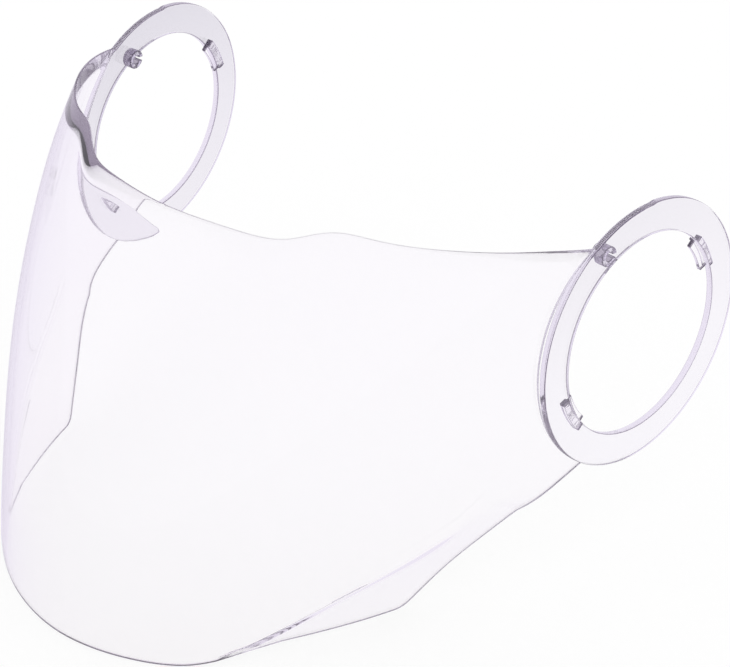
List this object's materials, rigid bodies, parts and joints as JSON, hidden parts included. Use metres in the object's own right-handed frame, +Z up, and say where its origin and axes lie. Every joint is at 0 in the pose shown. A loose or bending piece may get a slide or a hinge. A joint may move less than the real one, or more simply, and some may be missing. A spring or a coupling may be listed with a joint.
{
  "type": "motorcycle helmet visor",
  "caption": "Clear curved open-face helmet visor with round pivot rings on both arms, retaining tabs and split guide studs.",
  "frame": {"origin": "middle of the box round the visor, on the surface it stands on", "axes": "+X to the wearer's left, +Y to the back, +Z up, with the visor standing on its chin edge and its two rear corners"},
  "size_m": [0.2504, 0.2292, 0.1438],
  "materials": {
    "clear_polycarbonate": "clear polished moulding with a hard coat"
  },
  "bodies": {
    "root": {"shield": "clear_polycarbonate", "left_ring": "clear_polycarbonate", "right_ring": "clear_polycarbonate", "left_front_tab": "clear_polycarbonate", "right_front_tab": "clear_polycarbonate", "left_rear_tab": "clear_polycarbonate", "right_rear_tab": "clear_polycarbonate", "left_guide_hook": "clear_polycarbonate", "right_guide_hook": "clear_polycarbonate"}
  },
  "joints": []
}
